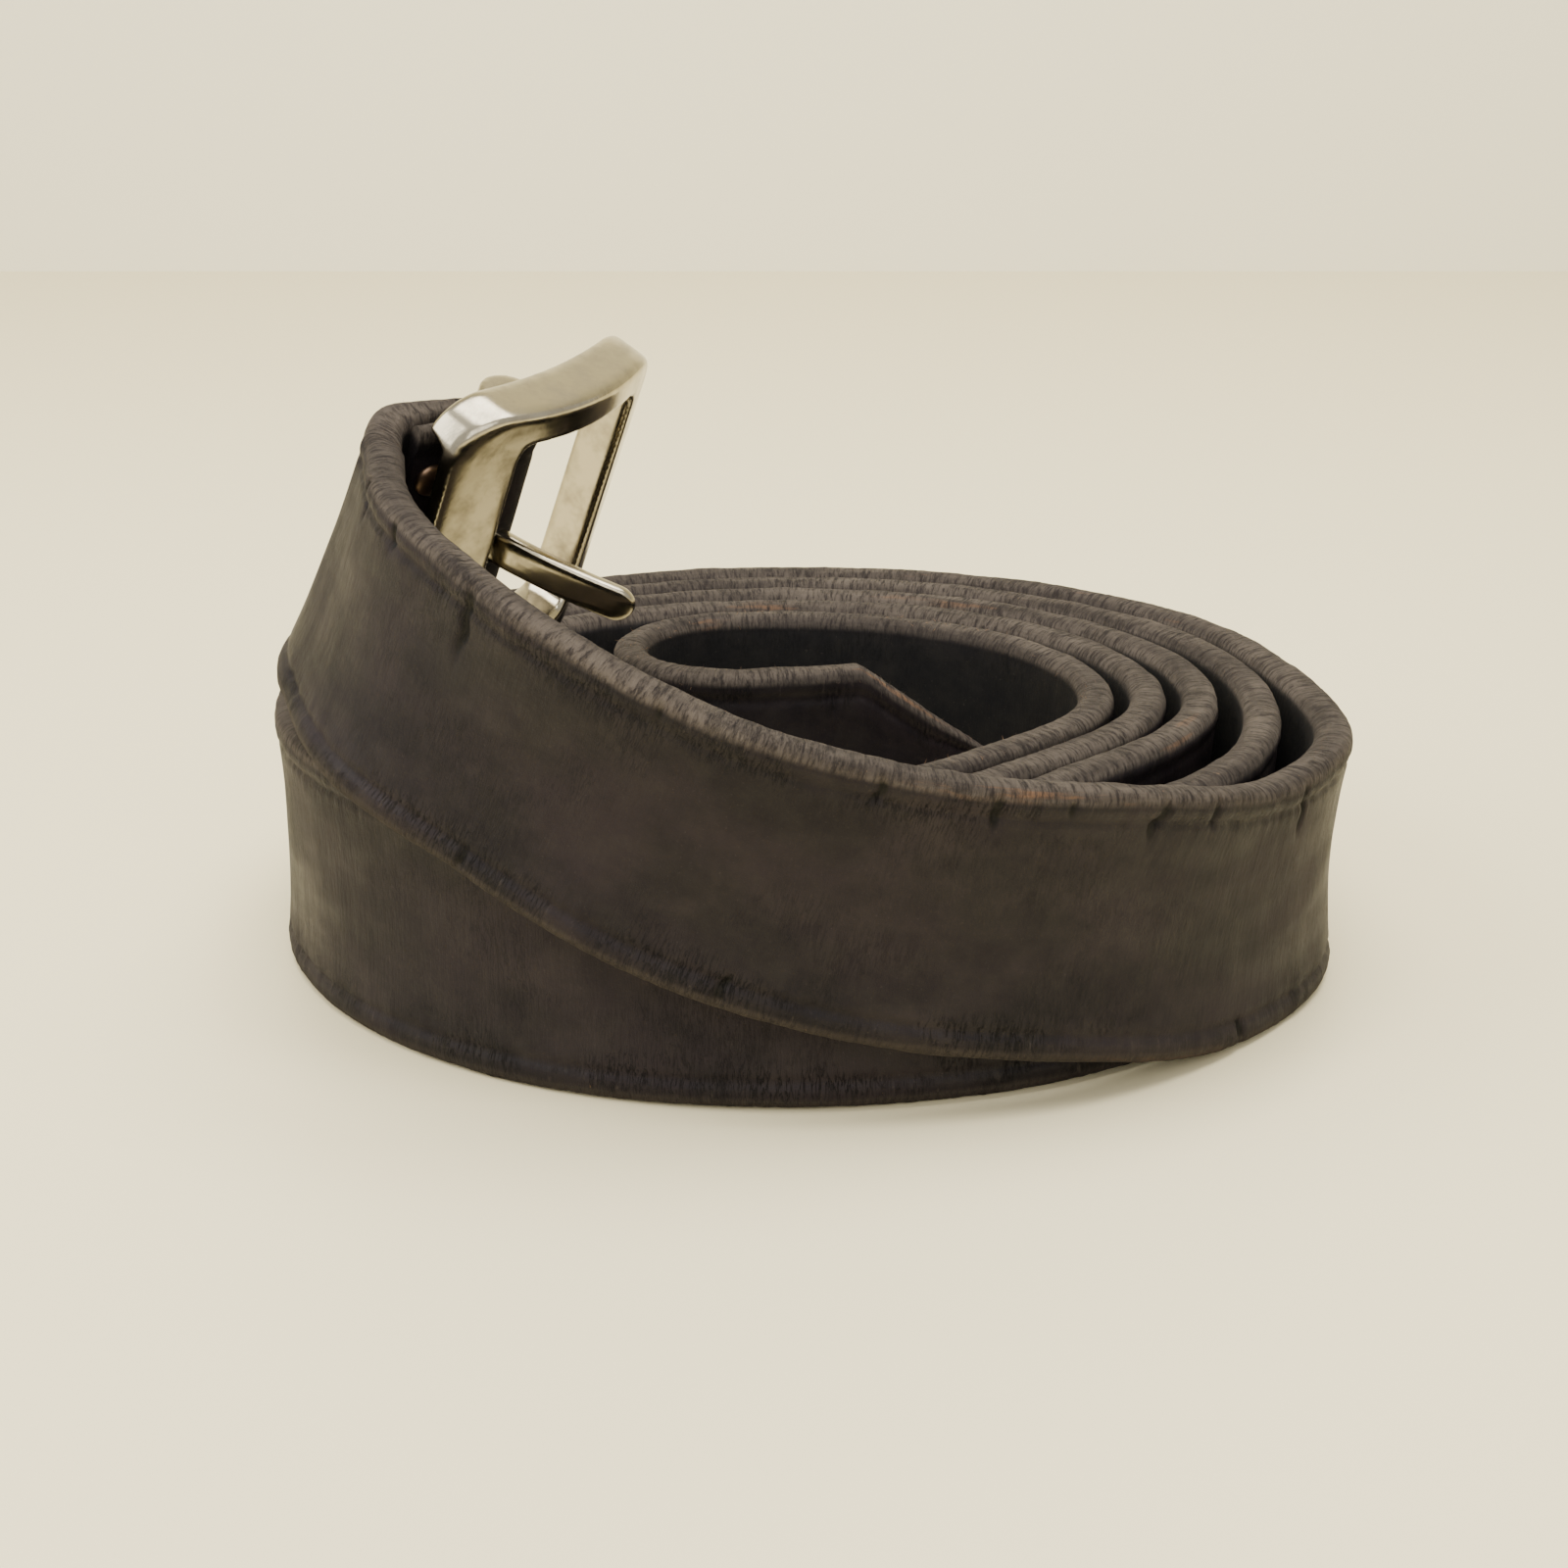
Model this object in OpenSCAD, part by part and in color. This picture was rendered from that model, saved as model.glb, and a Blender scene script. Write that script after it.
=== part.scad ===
// Leather belt, rolled up and stood on its edge, with a pronged heel-bar buckle.
// The strap winds clockwise from its pointed tip in the middle outwards. Its last turn climbs
// over the roll, doubles back and carries the buckle. Millimetres, +Z up, floor at z = 0.

/* [Strap] */
// Width of the strap, which is the height of the roll
strap_w = 28; // [27.5:0.25:28.25]
// Thickness of the strap
strap_t = 4; // [3.8:0.05:4]
// Length of the pointed tip
tip_len = 18; // [14:1:22]

/* [Roll] */
// Mean radius at which the first turn starts
roll_r = 31.8; // [31:0.2:33]
// Distance from one turn to the next
turn_pitch = 5.1; // [5.1:0.05:5.4]
// How much wider than deep the roll is, as a radius
roll_squash = 1.9; // [1:0.1:2.2]
// How far the front right side of the roll is pressed in
roll_dent = 3.5; // [2:0.25:4]
// How far the last turn stands out there instead, as a share of that
roll_bulge = 0.5; // [0.3:0.1:0.5]
// Mean radius of the bend at the end of the straight tip
tip_bend_r = 12.4; // [11:0.2:13]

/* [Adjusting holes] */
// Number of punched holes
hole_count = 5; // [1:1:7]
// Distance between holes
hole_pitch = 25; // [20:1:25]
// Distance from the tip to the first hole
hole_first = 85; // [80:1:90]
// Diameter of a hole
hole_d = 4; // [3:0.25:4.5]

/* [Buckle] */
// Outer height of the frame, across the strap
frame_h = 36.8; // [36:0.2:37.2]
// Height of the window, which the strap passes through
window_h = 28.6; // [28.6:0.1:29]
// Depth of the rails where they are deepest
rail_depth = 6.5; // [6.3:0.1:6.7]
// Width of the heel band
heel_w = 7.8; // [6:0.2:8]
// Width of the front bar
bar_w = 5; // [4.4:0.2:5.2]
// Radius of the arched front face
arch_r = 35; // [33:0.5:40]
// Diameter of the pin
pin_d = 3.5; // [3:0.1:3.5]
// Length of the prong from the pin
prong_len = 19.6; // [19:0.2:20.4]

/* [Hidden] */
$fn = 96;
eps = 0.01;
leather = "#4b3b36";
metal = "#a3957f";
copper = "#8f6a4a";

// Place of the roll's own axis, which puts the middle of the belt's outline at the origin
roll_at = [-2, 2.5, 0];

// The roll: angles run clockwise from the left side, one turn after another
roll_start = 80;
hole_end_stop = 330;
roll_stop = 1590;
roll_step = 7.5;
drift_rate = 0.65;
drift_zero = 3.45;
dent_angle = 220;
dent_sharpness = 10;
last_turn = 1120;
chord_heading = 188;
chord_r = 130;
chord_len = 30.6;
tip_blunt = 1.6;

// The climbing turn: hand-set stations [x, y, z, lean], the lean in degrees towards the roll
wrap_stations = [
    [57, 1, 14.05, 0], [56, -19.5, 14.3, -2], [45, -36, 14.5, -4], [29, -48.6, 18.7, -5],
    [10.5, -54.2, 22.5, -6.5], [-8.5, -54.6, 28.4, -7], [-27, -48.5, 37.3, -1],
    [-38.5, -38.3, 42.8, 14], [-42.7, -28.5, 45.6, 20], [-44.2, -20.5, 47.6, 25]];
wrap_steps = 6;

// The buckle's pin: its place, and the turn of the strap's end about it
pin_at = [-32.8, -9.9, 48];
end_turn = [27, 2.5, 38];
frame_swing = 17;
prong_swing = -55;

// The fold round the pin, seen along the pin with the grain side towards +y
fold_t = 2.2;
fold_r = pin_d / 2 + 0.08;
grain_y = fold_r + fold_t;
flesh_y = grain_y - strap_t;
fold_start = -10;
skive_end = -4;
tail_meet = [-5.8, flesh_y + 1.25];
tail_front = [-6.2, flesh_y - 2.1];
slot_h = 5;
slot_back = -5;

// Rivets through the fold
rivet_x = -8;
rivet_z = 8;
shank_r = 1.2;
post_head_r = 2.6;
cap_r = 1.9;
head_t = 0.8;

// The buckle's frame, seen along the pin
arch_at = [3.1, -6.4 + arch_r];
heel_x = -10.9;
window_x = heel_x + heel_w;
bar_x = 16.4;
heel_depth = 2;
heel_reach = 0.6;
frame_corner_r = 6;
window_corner_r = 2;
lug_r = 3.2;
lug_h = 2.5;
lug_wall = 0.6;
back_r = 60;
back_at = [1, arch_at.y - arch_r + rail_depth + back_r];

pin_len = window_h + 2 * (lug_h - lug_wall);

// The prong
prong_h = 4;
prong_t = 2;
prong_ring_r = 3.4;
prong_ring_h = 4.4;
prong_gap = 0.05;
prong_arc_r = 60;
prong_arc_at = [9, prong_arc_r - 1.7];

function unit(v) = v / norm(v);
function heading(v) = atan2(v.y, v.x);
// Left of a heading, where the grain side faces
function left_of(h) = [-sin(h), cos(h)];

// Mean line of the roll
function roll_radius(a) =
    roll_r + turn_pitch * a / 360 + roll_squash * cos(2 * a)
    - roll_dent * pow(max(0, cos(a - dent_angle)), dent_sharpness)
    * (a > last_turn ? -roll_bulge : 1);
function roll_drift(a) = drift_rate * (a / 360 - drift_zero);
function roll_pt(a) =
    [roll_drift(a) - cos(a) * roll_radius(a), roll_drift(a) + sin(a) * roll_radius(a)];
function roll_heading(a) = heading(roll_pt(a + 1) - roll_pt(a - 1));

// Bend from the straight tip into the roll, on an arc that meets the roll
bend_heading = roll_heading(roll_start);
bend_at = roll_pt(roll_start) - tip_bend_r * left_of(bend_heading);
function bend_pt(h) = bend_at + tip_bend_r * left_of(h);

// The tip lies on an arc that meets the bend
chord_at = bend_pt(chord_heading) - chord_r * left_of(chord_heading);
chord_sweep = chord_len / chord_r * 180 / PI;
tip_heading = chord_heading + chord_sweep;
tip_at = chord_at + chord_r * left_of(tip_heading);

// Stretch of the roll as [x, y, heading], from angle a to angle b
function roll_line(a, b) =
    let (n = ceil((b - a) / roll_step))
    [for (i = [0:n]) let (s = a + (b - a) * i / n, p = roll_pt(s)) [p.x, p.y, roll_heading(s)]];
bend_line = [for (h = [chord_heading:-(chord_heading - bend_heading) / 20:bend_heading + 1])
    [bend_pt(h).x, bend_pt(h).y, h]];

// Angle on the roll at a distance along the strap from the tip
tip_to_roll = chord_len + tip_bend_r * (chord_heading - bend_heading) * PI / 180;
function roll_angle(s, a = roll_start, run = tip_to_roll) =
    run >= s ? a : roll_angle(s, a + 1, run + norm(roll_pt(a + 1) - roll_pt(a)));

// Axes of the strap's end at the pin: along the strap, through it and across it
end_z = [cos(end_turn.z) * sin(end_turn.y) * cos(end_turn.x) + sin(end_turn.z) * sin(end_turn.x),
         sin(end_turn.z) * sin(end_turn.y) * cos(end_turn.x) - cos(end_turn.z) * sin(end_turn.x),
         cos(end_turn.y) * cos(end_turn.x)];
end_x = [cos(end_turn.z) * cos(end_turn.y), sin(end_turn.z) * cos(end_turn.y), -sin(end_turn.y)];
end_y = cross(end_z, end_x);
wrap_end = pin_at + fold_start * end_x + (grain_y - strap_t / 2) * end_y;

// Across the strap: upright to the run t, then leaned over it
function upright(t) = unit([0, 0, 1] - t.z * t);
function across(t, lean) = upright(t) * cos(lean) + cross(t, upright(t)) * sin(lean);
end_lean = atan2(end_z * cross(end_x, upright(end_x)), end_z * upright(end_x));

// Smooth run through the stations, by their distances apart
roll_end = roll_pt(roll_stop);
roll_run = [cos(roll_heading(roll_stop)), sin(roll_heading(roll_stop)), 0];
run_pts = concat([[roll_end.x, roll_end.y, strap_w / 2]],
                 [for (s = wrap_stations) [s.x, s.y, s.z]], [wrap_end]);
run_leans = concat([0], [for (s = wrap_stations) s[3]], [end_lean]);
run_last = len(run_pts) - 1;
function gap(i) = norm(run_pts[i + 1] - run_pts[i]);
function slope(v, i) =
    ((v[i + 1] - v[i]) * gap(i - 1) / gap(i) + (v[i] - v[i - 1]) * gap(i) / gap(i - 1))
    / (gap(i - 1) + gap(i));
run_slopes = [for (i = [0:run_last])
    i == 0 ? roll_run : i == run_last ? end_x : slope(run_pts, i)];
lean_slopes = [for (i = [0:run_last]) i == 0 || i == run_last ? 0 : slope(run_leans, i)];
function hermite(p, q, mp, mq, g, u) =
    p * (1 + u * u * (2 * u - 3)) + q * u * u * (3 - 2 * u)
    + mp * g * u * (1 - u) * (1 - u) + mq * g * u * u * (u - 1);
function run_pt(i, u) =
    hermite(run_pts[i], run_pts[i + 1], run_slopes[i], run_slopes[i + 1], gap(i), u);
function run_lean(i, u) =
    hermite(run_leans[i], run_leans[i + 1], lean_slopes[i], lean_slopes[i + 1], gap(i), u);
function run_dir(i, u) =
    unit(run_pt(i, min(1, u + 0.01)) - run_pt(i, max(0, u - 0.01)));

// Four corners of the strap's section at a point p with run t and lean
function strap_ring(p, t, lean) =
    let (c = across(t, lean) * strap_w / 2, n = unit(cross(across(t, lean), t)) * strap_t / 2)
    [p + n - c, p + n + c, p - n + c, p - n - c];
wrap_rings = concat(
    [strap_ring(run_pts[0], roll_run, 0)],
    [for (i = [0:run_last - 1]) for (k = [1:wrap_steps]) if (i < run_last - 1 || k < wrap_steps)
        strap_ring(run_pt(i, k / wrap_steps), run_dir(i, k / wrap_steps),
                   run_lean(i, k / wrap_steps))],
    [strap_ring(wrap_end, end_x, end_lean)]);

// Upright band of leather along a line of [x, y, heading]
module band(line) {
    linear_extrude(strap_w)
        polygon(concat(
            [for (p = line) [p.x, p.y] + left_of(p.z) * strap_t / 2],
            [for (i = [len(line) - 1:-1:0])
                [line[i].x, line[i].y] - left_of(line[i].z) * strap_t / 2]));
}

// Places its children at the pin, with the strap's run along x and the pin along z
module at_pin() {
    translate(roll_at + pin_at) rotate(end_turn) children();
}

// Rectangle from corner a to corner b with round corners
module round_rect(a, b, r) {
    translate([a.x + r, a.y]) square([b.x - a.x - 2 * r, b.y - a.y]);
    translate([a.x, a.y + r]) square([b.x - a.x, b.y - a.y - 2 * r]);
    for (x = [a.x + r, b.x - r]) for (y = [a.y + r, b.y - r]) translate([x, y]) circle(r);
}

// Outline in x and z, pushed through along y
module through_y(depth = 40) {
    rotate([90, 0, 0]) linear_extrude(2 * depth, center = true) children();
}

// Curved wall about an upright axis, from heading a to heading b
module arc_wall(at, r_in, r_out, a, b, h) {
    translate([at.x, at.y, -h / 2]) rotate(a) rotate_extrude(angle = b - a)
        translate([r_in, 0]) square([r_out - r_in, h]);
}

module strap_tip() {
    color(leather) translate(roll_at) intersection() {
        translate([chord_at.x, chord_at.y, 0])
            rotate(chord_heading + 90) rotate_extrude(angle = chord_sweep)
                translate([chord_r - strap_t / 2, 0]) square([strap_t, strap_w]);
        translate([tip_at.x, tip_at.y, 0]) rotate(tip_heading) rotate([90, 0, 0])
            linear_extrude(6 * strap_t, center = true)
                polygon([[0, (strap_w - tip_blunt) / 2], [0, (strap_w + tip_blunt) / 2],
                         [tip_len, strap_w], [2 * chord_len, strap_w],
                         [2 * chord_len, 0], [tip_len, 0]]);
    }
}

module strap_hole_end() {
    color(leather) translate(roll_at) difference() {
        band(concat(bend_line, roll_line(roll_start, hole_end_stop)));
        for (i = [0:hole_count - 1]) {
            a = roll_angle(hole_first + i * hole_pitch);
            translate([roll_pt(a).x, roll_pt(a).y, strap_w / 2])
                rotate([0, 90, roll_heading(a) + 90])
                    cylinder(h = strap_t + 1, d = hole_d, center = true);
        }
    }
}

module strap_roll() {
    color(leather) translate(roll_at) band(roll_line(hole_end_stop, roll_stop));
}

module strap_wrap() {
    color(leather) translate(roll_at) polyhedron(
        points = [for (ring = wrap_rings) each ring],
        faces = concat(
            [[0, 1, 2, 3]],
            [for (i = [0:len(wrap_rings) - 2]) for (j = [0:3])
                let (k = (j + 1) % 4) [4 * i + j, 4 * i + 4 + j, 4 * i + 4 + k, 4 * i + k]],
            [[for (j = [3:-1:0]) 4 * (len(wrap_rings) - 1) + j]]),
        convexity = 10);
}

module strap_fold() {
    color(leather) at_pin() difference() {
        union() {
            translate([0, 0, -strap_w / 2]) linear_extrude(strap_w)
                polygon([[fold_start, flesh_y], [fold_start, grain_y], [eps, grain_y],
                         [eps, fold_r], [skive_end, fold_r], tail_meet, [eps, -fold_r],
                         [eps, -grain_y], tail_front, [fold_start, tail_front.y]]);
            arc_wall([0, 0], fold_r, grain_y, -90, 90, strap_w);
        }
        translate([slot_back, -10, -slot_h / 2]) cube([20, 20, slot_h]);
        rivets() rotate([90, 0, 0]) cylinder(h = 20, r = shank_r, center = true);
        cylinder(h = 2 * strap_w, r = fold_r, center = true);
    }
}

// A copy of the children at each rivet
module rivets() {
    for (z = [-rivet_z, rivet_z]) translate([rivet_x, 0, z]) children();
}

module rivet_posts() {
    color(copper) at_pin() rivets() rotate([90, 0, 0]) {
        translate([0, 0, -grain_y]) cylinder(h = grain_y - tail_front.y + head_t / 2, r = shank_r);
        translate([0, 0, -grain_y - head_t]) cylinder(h = head_t, r = post_head_r);
    }
}

module rivet_caps() {
    color(copper) at_pin() rivets() rotate([90, 0, 0])
        translate([0, 0, -tail_front.y]) difference() {
            cylinder(h = head_t, r = cap_r);
            translate([0, 0, -eps]) cylinder(h = head_t / 2 + eps, r = shank_r);
        }
}

module upright_disc(at, r, h) {
    translate([at.x, at.y, 0]) cylinder(h = h, r = r, center = true);
}

module buckle_frame() {
    color(metal) at_pin() rotate(frame_swing) difference() {
        union() {
            difference() {
                intersection() {
                    upright_disc(arch_at, arch_r, 2 * frame_h);
                    through_y(60) round_rect([heel_x, -frame_h / 2],
                                             [bar_x + bar_w, frame_h / 2], frame_corner_r);
                }
                upright_disc(back_at, back_r, 3 * frame_h);
                arc_wall(arch_at, arch_r / 2, arch_r - heel_depth, 235, 268, window_h + heel_reach);
            }
            for (z = [-1, 1]) translate([0, 0, z * (window_h + lug_h) / 2])
                cylinder(h = lug_h, r = lug_r, center = true);
        }
        through_y() round_rect([window_x, -window_h / 2], [bar_x, window_h / 2], window_corner_r);
        cylinder(h = pin_len, d = pin_d, center = true);
    }
}

module buckle_pin() {
    color(metal) at_pin() cylinder(h = pin_len, d = pin_d, center = true);
}

module prong() {
    color(metal) at_pin() rotate(prong_swing) difference() {
        union() {
            cylinder(h = prong_ring_h, r = prong_ring_r, center = true);
            intersection() {
                arc_wall(prong_arc_at, prong_arc_r - prong_t / 2, prong_arc_r + prong_t / 2,
                         250, 290, prong_h);
                through_y() round_rect([-2, -prong_h / 2], [prong_len, prong_h / 2],
                                       prong_h / 2 - 0.1);
            }
        }
        cylinder(h = 2 * frame_h, r = pin_d / 2 + prong_gap, center = true);
    }
}

strap_tip();
strap_hole_end();
strap_roll();
strap_wrap();
strap_fold();
buckle_frame();
buckle_pin();
prong();
rivet_posts();
rivet_caps();
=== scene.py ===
# %% [markdown]
# # A rolled leather belt
# The object is a worn dress belt, rolled up and stood on its edge. One strip of thick leather
# winds from its pointed tip outwards, and its last turn climbs over the roll to a metal buckle.
# The CAD model gives the frame: every piece below is in metres, in the same place as its solid.

# %% Load the frame
import math

import bmesh
import bpy
import numpy as np
from mathutils import Matrix, Vector


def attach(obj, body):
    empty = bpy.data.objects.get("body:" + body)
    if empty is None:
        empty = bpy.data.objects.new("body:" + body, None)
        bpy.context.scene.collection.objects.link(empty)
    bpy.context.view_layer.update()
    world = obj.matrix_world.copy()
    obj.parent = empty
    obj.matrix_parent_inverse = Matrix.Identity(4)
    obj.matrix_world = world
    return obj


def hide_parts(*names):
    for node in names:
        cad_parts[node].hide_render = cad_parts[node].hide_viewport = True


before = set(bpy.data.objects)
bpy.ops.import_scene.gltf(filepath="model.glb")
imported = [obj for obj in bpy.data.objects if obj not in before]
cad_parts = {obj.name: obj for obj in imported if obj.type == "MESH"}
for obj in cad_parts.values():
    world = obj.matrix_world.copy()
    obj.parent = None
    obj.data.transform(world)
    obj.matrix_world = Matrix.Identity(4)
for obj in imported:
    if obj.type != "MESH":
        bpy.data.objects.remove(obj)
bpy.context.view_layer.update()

MM = 0.001

# %% [markdown]
# ## Camera, floor and light
# The camera stands close in front of the belt and looks down a little. A pale floor and wall
# bounce the light of large soft lamps, which is what makes the dark leather and the bright
# metal readable.

# %% Camera
ROLL_AT = np.array([-2.0, 2.5, 0.0])
CAMERA_AT = (ROLL_AT + [0.0, -262.5, 105.0]) * MM
CAMERA_PITCH = math.radians(18.78)
camera_data = bpy.data.cameras.new("camera")
camera_data.lens = 56.25
camera_data.sensor_width = 36.0
camera_data.clip_start = 0.01
camera = bpy.data.objects.new("camera", camera_data)
camera.location = CAMERA_AT
camera.rotation_euler = (math.pi / 2 - CAMERA_PITCH, 0.0, 0.0)
bpy.context.scene.collection.objects.link(camera)
bpy.context.scene.camera = camera
print("camera at", [round(float(v), 4) for v in CAMERA_AT])


# %% Small helpers for nodes and objects
def link(tree, out, into):
    tree.links.new(out, into)


def add(tree, kind, **values):
    """A new node of a kind, with its plain settings."""
    made = tree.nodes.new(kind)
    for name, value in values.items():
        setattr(made, name, value)
    return made


def new_object(name, mesh, material=None):
    made = bpy.data.objects.new(name, mesh)
    bpy.context.scene.collection.objects.link(made)
    if material:
        mesh.materials.append(material)
    return made


def plain_material(name, colour, roughness):
    material = bpy.data.materials.new(name)
    material.use_nodes = True
    shader = material.node_tree.nodes["Principled BSDF"]
    shader.inputs["Base Color"].default_value = (*colour, 1.0)
    shader.inputs["Roughness"].default_value = roughness
    return material


# %% Floor and wall
def stage_plane(name, corners, material):
    mesh = bpy.data.meshes.new(name)
    mesh.from_pydata(corners, [], [(0, 1, 2, 3)])
    new_object(name, mesh, material)


WALL_Y = 0.6
floor_paint = plain_material("pale_floor", (0.86, 0.77, 0.50), 0.5)
wall_paint = plain_material("pale_wall", (0.93, 0.88, 0.66), 0.9)
stage_plane("floor", [(-2, -2, 0), (2, -2, 0), (2, WALL_Y, 0), (-2, WALL_Y, 0)], floor_paint)
stage_plane("wall", [(-2, WALL_Y, 0), (2, WALL_Y, 0), (2, WALL_Y, 2), (-2, WALL_Y, 2)], wall_paint)


# %% Lamps
def area_lamp(name, at, target, size, power, colour):
    data = bpy.data.lights.new(name, "AREA")
    data.shape = "RECTANGLE"
    data.size, data.size_y = size
    data.energy = power
    data.color = colour
    lamp = bpy.data.objects.new(name, data)
    lamp.location = at
    lamp.rotation_euler = (Vector(target) - Vector(at)).to_track_quat("-Z", "Y").to_euler()
    bpy.context.scene.collection.objects.link(lamp)


WARM = (1.0, 0.975, 0.93)
area_lamp("lamp_above", (0.05, -0.05, 0.75), (0, 0, 0), (0.7, 0.5), 10.0, WARM)
area_lamp("lamp_left", (-0.6, -0.15, 0.45), (0, 0, 0.02), (0.5, 0.5), 4.5, WARM)
area_lamp("lamp_front", (0.1, -0.8, 0.5), (0, 0, 0.02), (0.8, 0.5), 3.5, WARM)
world = bpy.data.worlds.new("studio")
world.use_nodes = True
world.node_tree.nodes["Background"].inputs["Color"].default_value = (*WARM, 1.0)
world.node_tree.nodes["Background"].inputs["Strength"].default_value = 0.85
bpy.context.scene.world = world

# %% [markdown]
# ## The strap's route
# A belt is one long strip, so one line describes it: from the tip along a nearly straight
# chord, round a tight bend, through a little over four turns of a spiral, and up over the roll
# to the pin. These are the same rules and the same stations as in the CAD source.

# %% Sizes of the strap, in millimetres
STRAP_W, STRAP_T = 28.0, 4.0
TIP_LEN, TIP_BLUNT = 18.0, 1.6
ROLL_START, ROLL_STOP = 80.0, 1590.0
BEND_R, CHORD_R, CHORD_LEN, CHORD_HEADING = 12.4, 130.0, 30.6, 188.0
PIN_D, FOLD_T, FOLD_PLAY, FOLD_LEN = 3.5, 2.2, 0.08, 10.0
PIN_AT = np.array([-32.8, -9.9, 48.0])
END_TURN = (27.0, 2.5, 38.0)
FRAME_SWING, PRONG_SWING = 17.0, -55.0
HOLE_FIRST, HOLE_PITCH, HOLE_COUNT, HOLE_D = 85.0, 25.0, 5, 4.0
STATIONS = [
    (57, 1, 14.05, 0), (56, -19.5, 14.3, -2), (45, -36, 14.5, -4), (29, -48.6, 18.7, -5),
    (10.5, -54.2, 22.5, -6.5), (-8.5, -54.6, 28.4, -7), (-27, -48.5, 37.3, -1),
    (-38.5, -38.3, 42.8, 14), (-42.7, -28.5, 45.6, 20), (-44.2, -20.5, 47.6, 25)]


def cosd(a):
    return np.cos(np.radians(a))


def sind(a):
    return np.sin(np.radians(a))


def unit(v):
    return v / np.linalg.norm(v, axis=-1, keepdims=True)


# %% The spiral, with the angle running clockwise from the left side
ROLL_R, TURN_PITCH, ROLL_SQUASH = 31.8, 5.1, 1.9
ROLL_DENT, DENT_ANGLE, DENT_SHARPNESS = 3.5, 220, 10
LAST_TURN, ROLL_BULGE = 1120, 0.5
DRIFT_RATE, DRIFT_ZERO = 0.65, 3.45


def roll_pt(a):
    """Mean line of the roll; its front right side is pressed in, but stands out on the last turn."""
    a = np.asarray(a, float)
    dent = ROLL_DENT * np.maximum(0, cosd(a - DENT_ANGLE)) ** DENT_SHARPNESS
    radius = (ROLL_R + TURN_PITCH * a / 360 + ROLL_SQUASH * cosd(2 * a)
              - dent * np.where(a > LAST_TURN, -ROLL_BULGE, 1.0))
    drift = DRIFT_RATE * (a / 360 - DRIFT_ZERO)
    return np.stack([drift - cosd(a) * radius, drift + sind(a) * radius], -1)


def roll_heading(a):
    d = roll_pt(np.asarray(a) + 1.0) - roll_pt(np.asarray(a) - 1.0)
    return np.degrees(np.arctan2(d[..., 1], d[..., 0]))


def left_of(h):
    return np.stack([-sind(h), cosd(h)], -1)


bend_heading = float(roll_heading(ROLL_START))
bend_at = roll_pt(ROLL_START) - BEND_R * left_of(bend_heading)
chord_at = bend_at + (BEND_R - CHORD_R) * left_of(CHORD_HEADING)
tip_heading = CHORD_HEADING + math.degrees(CHORD_LEN / CHORD_R)
print("bend heading", round(bend_heading, 1), "tip heading", round(tip_heading, 1))


# %% The flat part of the route: chord, bend and spiral
def flat_route(step):
    """Points, headings and thickness from the tip to the end of the spiral."""
    heads = np.linspace(tip_heading, CHORD_HEADING, int(CHORD_LEN / step) + 1)
    chord = chord_at + CHORD_R * left_of(heads)
    bend_len = BEND_R * math.radians(CHORD_HEADING - bend_heading)
    turns = np.linspace(CHORD_HEADING, bend_heading, int(bend_len / step) + 1)[1:]
    bend = bend_at + BEND_R * left_of(turns)
    rough = np.arange(ROLL_START, ROLL_STOP + 0.5, 1.0)
    run = np.concatenate([[0], np.cumsum(np.linalg.norm(np.diff(roll_pt(rough), axis=0),
                                                        axis=1))])
    even = np.linspace(0, run[-1], int(run[-1] / step) + 1)[1:]
    angles = np.interp(even, run, rough)
    spots = np.vstack([chord, bend, roll_pt(angles)])
    headings = np.concatenate([heads, turns, roll_heading(angles)])
    marks = np.concatenate([np.full(len(chord) + len(bend), ROLL_START), angles])
    return spots, headings, marks


# %% [markdown]
# The climbing turn leaves the floor, leans over the roll and doubles back. Between two stations
# it follows a smooth cubic, with the tangent at each station taken from its neighbours.


# %% Axes of the strap's end at the pin
def turn_matrix(x, y, z):
    """The turn of OpenSCAD's rotate([x, y, z])."""
    made = Matrix.Rotation(math.radians(z), 3, "Z")
    made = made @ Matrix.Rotation(math.radians(y), 3, "Y")
    return np.array(made @ Matrix.Rotation(math.radians(x), 3, "X"))


PIN_TURN = turn_matrix(*END_TURN)
END_X, END_Y, END_Z = PIN_TURN.T
fold_r = PIN_D / 2 + FOLD_PLAY
grain_y = fold_r + FOLD_T
flesh_y = grain_y - STRAP_T
wrap_end = PIN_AT - FOLD_LEN * END_X + (grain_y - STRAP_T / 2) * END_Y


def upright(t):
    z = np.array([0.0, 0.0, 1.0])
    return unit(z - (t @ z)[..., None] * t)


def across_run(t, lean):
    return upright(t) * cosd(lean)[..., None] + np.cross(t, upright(t)) * sind(lean)[..., None]


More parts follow.
